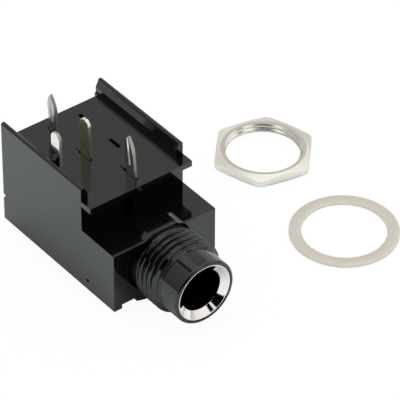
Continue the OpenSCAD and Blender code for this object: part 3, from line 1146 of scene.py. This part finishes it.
@dataclass
class PanelNut(Piece):
    """Thin hexagon nut with chamfered corners and a real thread.

    Attributes:
        bite: Overlap of the nut's thread with the nose thread.
        wall: Wall across the flats, beyond the nose thread.
        turn_deg: Turn of the hexagon as it lies.
        thread_depth: Depth of the thread.
        chamfer: Chamfer of the hole.
        face_w: Width of the level face around the hole.
        slope_deg: Slope of the faces beyond that.
        corner_cut: Depth that the corners are turned down.
        tap_turn_deg: Turn of the tap, which keeps its points off those of the turned faces.
        tap_over: Share of the pitch by which the tap stands out at each face.
        smooth_deg: Angle up to which the faces are shaded as one.
        around: Number of stretches around.
    """

    bite: float = 0.2 * MM
    wall: float = 1.15 * MM
    turn_deg: float = 47
    thread_depth: float = 0.35 * MM
    chamfer: float = 0.25 * MM
    face_w: float = 0.8 * MM
    slope_deg: float = 11
    corner_cut: float = 0.2 * MM
    tap_turn_deg: float = 1.1
    tap_over: float = 0.27
    smooth_deg: float = 6
    around: int = 128

    def build(self) -> None:
        """Turn a hexagon blank, countersink it and tap it."""
        low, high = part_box(self.node)
        middle = (low + high) / 2
        thickness = high.z - low.z
        self.mesh = self._blank(middle, thickness)
        turned_form = self._turned("turned_form", middle, self._corner_section(thickness))
        carve(self.mesh, turned_form, Carving.KEEP_SHARED)
        countersink = self._turned("countersink", middle, self._sink_section(thickness))
        carve(self.mesh, countersink, Carving.CUT_AWAY)
        carve(self.mesh, self._tap(middle, thickness), Carving.CUT_AWAY)
        merge(self.mesh)
        smooth(self.mesh, self.smooth_deg)

    def hole_r(self) -> float:
        """Radius of the thread's crest in the hole."""
        return self.sizes.crest_r - self.bite

    def corner_r(self) -> float:
        """Radius to the hexagon's corners."""
        return (self.sizes.crest_r + self.wall) / math.cos(math.radians(30))

    def _blank(self, middle: Vector, thickness: float) -> bpy.types.Object:
        """Model the hexagon blank, a little thicker than the nut.

        Args:
            middle: Middle of the nut.
            thickness: Its thickness.

        Returns:
            The blank.
        """
        alone()
        bpy.ops.mesh.primitive_cylinder_add(
            vertices=6, radius=self.corner_r(), depth=thickness + 2 * self.chamfer
        )
        blank = bpy.context.object
        blank.name = self.mesh_name()
        # A six-sided cylinder has its first corner on +Y, a quarter turn from +X
        spin = Matrix.Rotation(math.radians(self.turn_deg - 90), 4, "Z")
        blank.data.transform(Matrix.Translation(middle) @ spin)
        return blank

    def _corner_section(self, thickness: float) -> list[Point]:
        """Half section of the turned form that the hexagon is cut from, about the nut's middle."""
        half = thickness / 2
        face_r = self.hole_r() + self.face_w
        edge_r = self.corner_r() - self.corner_cut
        drop = (edge_r - face_r) * math.tan(math.radians(self.slope_deg))
        lower = [(0, -half), (face_r, -half), (edge_r, -half + drop)]
        return mirrored(lower)

    def _sink_section(self, thickness: float) -> list[Point]:
        """Half section of the spool that countersinks both ends of the hole."""
        half = thickness / 2
        throat = self.hole_r() - self.chamfer
        flare = self.hole_r() + 2 * self.chamfer
        below = -half - self.chamfer
        lower = [(0, below), (flare, below), (throat, -half + 2 * self.chamfer)]
        return mirrored(lower)

    def _turned(self, name: str, middle: Vector, section: list[Point]) -> bpy.types.Object:
        """Spin a half section about the nut's axis.

        Args:
            name: Name of the solid.
            middle: Middle of the nut.
            section: Points as radius and height.

        Returns:
            The closed solid.
        """
        solid = trace(name, beside_z(section, middle), closed=False)
        lathe(solid, middle, AXIS_Z, self.around)
        return solid

    def _tap(self, middle: Vector, thickness: float) -> bpy.types.Object:
        """Model the tap: a threaded rod that is longer than the nut.

        Args:
            middle: Middle of the nut.
            thickness: Its thickness.

        Returns:
            The closed rod.
        """
        form = Thread(self.hole_r(), self.thread_depth, around=self.around)
        reach = thickness / 2 + self.tap_over * form.pitch
        turns = math.ceil(2 * reach / form.pitch) + 2
        rod = form.sweep("tap", "Z", -form.pitch * turns / 2, turns)
        slice_off(rod, Vector((0, 0, -reach)), AXIS_Z, fill=True)
        slice_off(rod, Vector((0, 0, reach)), -AXIS_Z, fill=True)
        turn = Matrix.Rotation(math.radians(self.tap_turn_deg), 4, "Z")
        rod.data.transform(Matrix.Translation(middle) @ turn)
        merge(rod)
        return rod


@dataclass
class PanelWasher(Piece):
    """Thin stamped washer, rolled over at its upper edges.

    Attributes:
        gap: Gap between the washer's hole and the nose thread.
        roll_r: Radius of the rolled-over upper edges.
        burr: Chamfer of the lower edges.
        around: Number of stretches around.
    """

    gap: float = 0.45 * MM
    roll_r: float = 0.04 * MM
    burr: float = 0.03 * MM
    around: int = 160

    def build(self) -> None:
        """Spin the washer's section about its upright axis."""
        low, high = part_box(self.node)
        middle = (low + high) / 2
        hole_r = self.sizes.crest_r + self.gap
        out_r = (high.x - low.x) / 2
        thickness = high.z - low.z
        roll_z = thickness - self.roll_r
        section = [
            (hole_r + self.burr, 0),
            (out_r - self.burr, 0),
            (out_r, self.burr),
            *arc((out_r - self.roll_r, roll_z), self.roll_r, start=0, end=90, steps=4),
            *arc((hole_r + self.roll_r, roll_z), self.roll_r, start=90, end=180, steps=4),
            (hole_r, self.burr),
        ]
        foot = Vector((middle.x, middle.y, low.z))
        self.mesh = trace(self.mesh_name(), beside_z(section, foot), closed=True)
        lathe(self.mesh, foot, AXIS_Z, self.around)
        smooth(self.mesh)


@dataclass
class Contact(Piece):
    """One stamped contact, with its edges a little rolled over."""


@dataclass
class BottomCover(Piece):
    """Black plate that closes the underside."""


@dataclass(frozen=True)
class PhotoCamera:
    """The camera that looks at the jack as the photograph does.

    Attributes:
        eye: Its place.
        azimuth_deg: Its heading, nought along +Y.
        elevation_deg: How far it looks down.
        roll_deg: Its turn about its own line of sight.
        lens_mm: Focal length.
        sensor_mm: Width of the sensor.
    """

    eye: tuple[float, float, float] = (-221.25 * MM, -291.12 * MM, 304.04 * MM)
    azimuth_deg: float = -37.97
    elevation_deg: float = 38.77
    roll_deg: float = 0.245
    lens_mm: float = 316.77
    sensor_mm: float = 36

    def build(self) -> None:
        """Make the camera and use it for the scene."""
        data = bpy.data.cameras.new("photo_camera")
        data.lens = self.lens_mm
        data.sensor_width = self.sensor_mm
        camera = bpy.data.objects.new("photo_camera", data)
        bpy.context.scene.collection.objects.link(camera)
        heading = Euler((math.radians(90 - self.elevation_deg), 0, math.radians(self.azimuth_deg)))
        roll = Matrix.Rotation(math.radians(self.roll_deg), 4, "Z")
        camera.matrix_world = Matrix.Translation(self.eye) @ heading.to_matrix().to_4x4() @ roll
        bpy.context.scene.camera = camera


@dataclass(frozen=True)
class DarkBoard:
    """A round board that darkens a part of the studio's sky.

    Attributes:
        towards: Direction of its middle.
        radius_deg: Its radius as seen from the object.
        edge_deg: Width of its soft edge.
        strength: How much of the light it takes away.
    """

    towards: tuple[float, float, float]
    radius_deg: float
    edge_deg: float
    strength: float = 1.0

    def cover(self, sheet: NodeSheet, direction: Wire) -> Wire:
        """Work out how much of the sky it hides.

        Args:
            sheet: The sky's node sheet.
            direction: Direction that is looked in.

        Returns:
            The board's strength behind it and nought beside it.
        """
        facing = sheet.along(direction, Vector(self.towards).normalized())
        outer = math.cos(math.radians(self.radius_deg + self.edge_deg))
        inner = math.cos(math.radians(self.radius_deg))
        return ((facing - outer) / (inner - outer)).larger(0).smaller(1) * self.strength


@dataclass(frozen=True)
class Studio:
    """Pale floor, soft light from above and a plain sky.

    Attributes:
        floor_size: Width of the floor.
        floor_colour: Colour of the floor.
        floor_glow: Share of the floor that shows as plain white.
        floor_mirrored: The same share where the floor is seen in a reflection.
        sky_colour: Colour of the sky.
        sky: Brightness of the sky, as heights from the horizon to overhead and values.
        boards: Boards around the object, which its glossy faces mirror. The last is the camera.
        lamp_size: Width of the lamp above and behind.
        lamp_towards: Its direction from the object.
        lamp_distance: Its distance.
        lamp_power: Its power in watts.
    """

    floor_size: float = 6.0
    floor_colour: Colour = (0.865, 0.92, 0.94, 1)
    floor_glow: float = 0.95
    floor_mirrored: float = 0.06
    sky_colour: tuple[float, float, float] = (1.0, 0.98, 0.93)
    sky: tuple[tuple[float, float], ...] = ((0.0, 0.5), (0.22, 0.95), (0.6, 1.1), (0.85, 1.25))
    boards: tuple[DarkBoard, ...] = (
        DarkBoard((-0.382, -0.913, 0.137), 20, 3),
        DarkBoard((0.092, -0.893, 0.441), 4.5, 2),
        DarkBoard((0.48, 0.614, 0.626), 9, 8, 0.43),
        DarkBoard((0.13, 0.61, 0.78), 10, 6, 0.22),
        DarkBoard((-0.17, 0.614, 0.77), 1.5, 4, 0.95),
        DarkBoard((0.69, 0.61, 0.38), 7, 7, 0.2),
        DarkBoard((-0.65, 0.62, 0.42), 22, 20, 0.5),
        DarkBoard((-0.75, -0.6, 0.2), 30, 8, 0.95),
        DarkBoard((0.48, -0.614, 0.626), 5, 5, 0.9),
        DarkBoard((-0.48, -0.614, 0.626), 22, 10, 0.8),
    )
    lamp_size: float = 0.35
    lamp_towards: tuple[float, float, float] = (0.0, 0.31, 0.95)
    lamp_distance: float = 0.8
    lamp_power: float = 2.2

    def build(self, ground_z: float) -> None:
        """Set up the floor, the sky and the lamp.

        Args:
            ground_z: Level of the floor.
        """
        self._floor(ground_z)
        self._sky()
        self._lamp()
        bpy.context.scene.view_settings.view_transform = "Standard"

    def _floor(self, ground_z: float) -> None:
        """Lay the floor, which looks white and keeps the object's shadow."""
        alone()
        bpy.ops.mesh.primitive_plane_add(size=self.floor_size)
        floor = bpy.context.object
        floor.name = "floor"
        floor.data.transform(Matrix.Translation((0, 0, ground_z)))
        material, sheet = new_material("pale_floor")
        path = sheet.add("ShaderNodeLightPath")
        reflected = sheet.wire(path, "Is Glossy Ray").larger(sheet.wire(path, "Is Transmission Ray"))
        white = sheet.wire(path, "Is Camera Ray") * self.floor_glow + reflected * self.floor_mirrored
        matte = sheet.add("ShaderNodeBsdfDiffuse", inputs={"Color": self.floor_colour})
        glow = sheet.add("ShaderNodeEmission", inputs={"Strength": 1.0})
        mixed = sheet.add("ShaderNodeMixShader", inputs={0: white, 1: sheet.wire(matte), 2: sheet.wire(glow)})
        sheet.add("ShaderNodeOutputMaterial", inputs={"Surface": sheet.wire(mixed)})
        floor.data.materials.append(material)
        floor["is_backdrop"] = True

    def _sky(self) -> None:
        """Light the scene with a pale sky that is dimmer behind the boards."""
        world = bpy.data.worlds.new("studio_sky")
        bpy.context.scene.world = world
        world.use_nodes = True
        sheet = NodeSheet(world.node_tree)
        direction = sheet.wire(sheet.add("ShaderNodeTexCoord"), "Generated")
        _, _, height = sheet.axes(direction)
        level = sheet.wire(sheet.add("ShaderNodeValToRGB", {"stops": self.sky}, {0: height}))
        for board in self.boards:
            level = level * (1 - board.cover(sheet, direction))
        tinted = sheet.add(
            "ShaderNodeVectorMath", {"operation": "SCALE"}, {0: self.sky_colour, "Scale": level}
        )
        sky = sheet.add("ShaderNodeBackground", inputs={"Color": sheet.wire(tinted)})
        sheet.add("ShaderNodeOutputWorld", inputs={"Surface": sheet.wire(sky)})

    def _lamp(self) -> None:
        """Hang a wide soft lamp above and behind the object, which isn't mirrored in it."""
        data = bpy.data.lights.new("soft_lamp", "AREA")
        data.size = self.lamp_size
        data.energy = self.lamp_power
        lamp = bpy.data.objects.new("soft_lamp", data)
        towards = Vector(self.lamp_towards).normalized()
        aim = towards.to_track_quat("Z", "Y").to_matrix().to_4x4()
        lamp.matrix_world = Matrix.Translation(towards * self.lamp_distance) @ aim
        lamp.visible_glossy = False
        bpy.context.scene.collection.objects.link(lamp)


def make_pieces(frame: dict[str, Any], sizes: JackSizes) -> list[Piece]:
    """Set out all the pieces with their finishes.

    Args:
        sizes: Sizes from the frame.

    Returns:
        The pieces, not built yet.
    """
    nodes = frame["nodes"]
    nut_low, nut_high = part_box("panel_nut")
    black = BlackPlastic().make()
    ring = PlatedMetal(
        name="bright_ring",
        lay=Lay.RINGS_ABOUT_Y,
        colour=(0.88, 0.87, 0.85, 1),
        stain_colour=(0.8, 0.78, 0.75, 1),
        roughness=0.06,
        line_size=0.03 * MM,
        line_depth=0.0003 * MM,
    ).make()
    tinned = StampedStrip(
        name="tinned_strip",
        colour=(0.86, 0.84, 0.83, 1),
        stain_colour=(0.74, 0.72, 0.70, 1),
        roughness=0.12,
    ).make()
    dull = StampedStrip(
        name="dull_strip",
        colour=(0.56, 0.555, 0.55, 1),
        stain_colour=(0.42, 0.415, 0.41, 1),
        roughness=0.3,
    ).make()
    brass = StampedStrip(
        name="brass_strip",
        colour=(0.92, 0.83, 0.58, 1),
        stain_colour=(0.84, 0.73, 0.48, 1),
        roughness=0.28,
        # The near-white rim is a painted highlight along the brass strip's sheared edge, on top of its
        # rougher sheared rim.
        rim_and_highlight_colour=(0.82, 0.82, 0.82, 1),
        rim_roughness=0.3,
    ).make()
    nut = PlatedMetal(
        name="nut_nickel",
        lay=Lay.RINGS_ABOUT_Z,
        colour=(0.9, 0.875, 0.83, 1),
        stain_colour=(0.68, 0.65, 0.605, 1),
        roughness=0.16,
        line_size=0.22 * MM,
        line_depth=0.04 * MM,
        centre=(nut_low + nut_high) / 2,
    ).make()
    washer = PlatedMetal(
        name="washer_nickel",
        lay=Lay.ROLLED,
        colour=(0.81, 0.78, 0.73, 1),
        stain_colour=(0.65, 0.615, 0.56, 1),
        roughness=0.42,
        line_size=0.06 * MM,
        line_depth=0.001 * MM,
    ).make()
    plan = (
        (Housing, "housing", "black_plastic", black),
        (BottomCover, "bottom_cover", "black_plastic", black),
        (MouthFerrule, "mouth_ferrule", "bright_ring", ring),
        (Contact, "tip_contact", "contact_metal", dull),
        (Contact, "ring_contact", "contact_metal", brass),
        (Contact, "sleeve_contact", "contact_metal", tinned),
        (Contact, "switch_contact", "contact_metal", tinned),
        (PanelNut, "panel_nut", "panel_hardware", nut),
        (PanelWasher, "panel_washer", "panel_hardware", washer),
    )
    return [make(node, slot, material, nodes[node], sizes) for make, node, slot, material in plan]


def main() -> None:
    """Build the jack around its frame, with its studio and camera."""
    logging.basicConfig(level=logging.INFO, format="%(name)s: %(message)s")
    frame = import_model()
    sizes = JackSizes.from_frame(frame)
    for piece in make_pieces(frame, sizes):
        piece.build()
        piece.dress()
    Studio().build(sizes.ground_z)
    PhotoCamera().build()


if __name__ == "__main__":
    main()
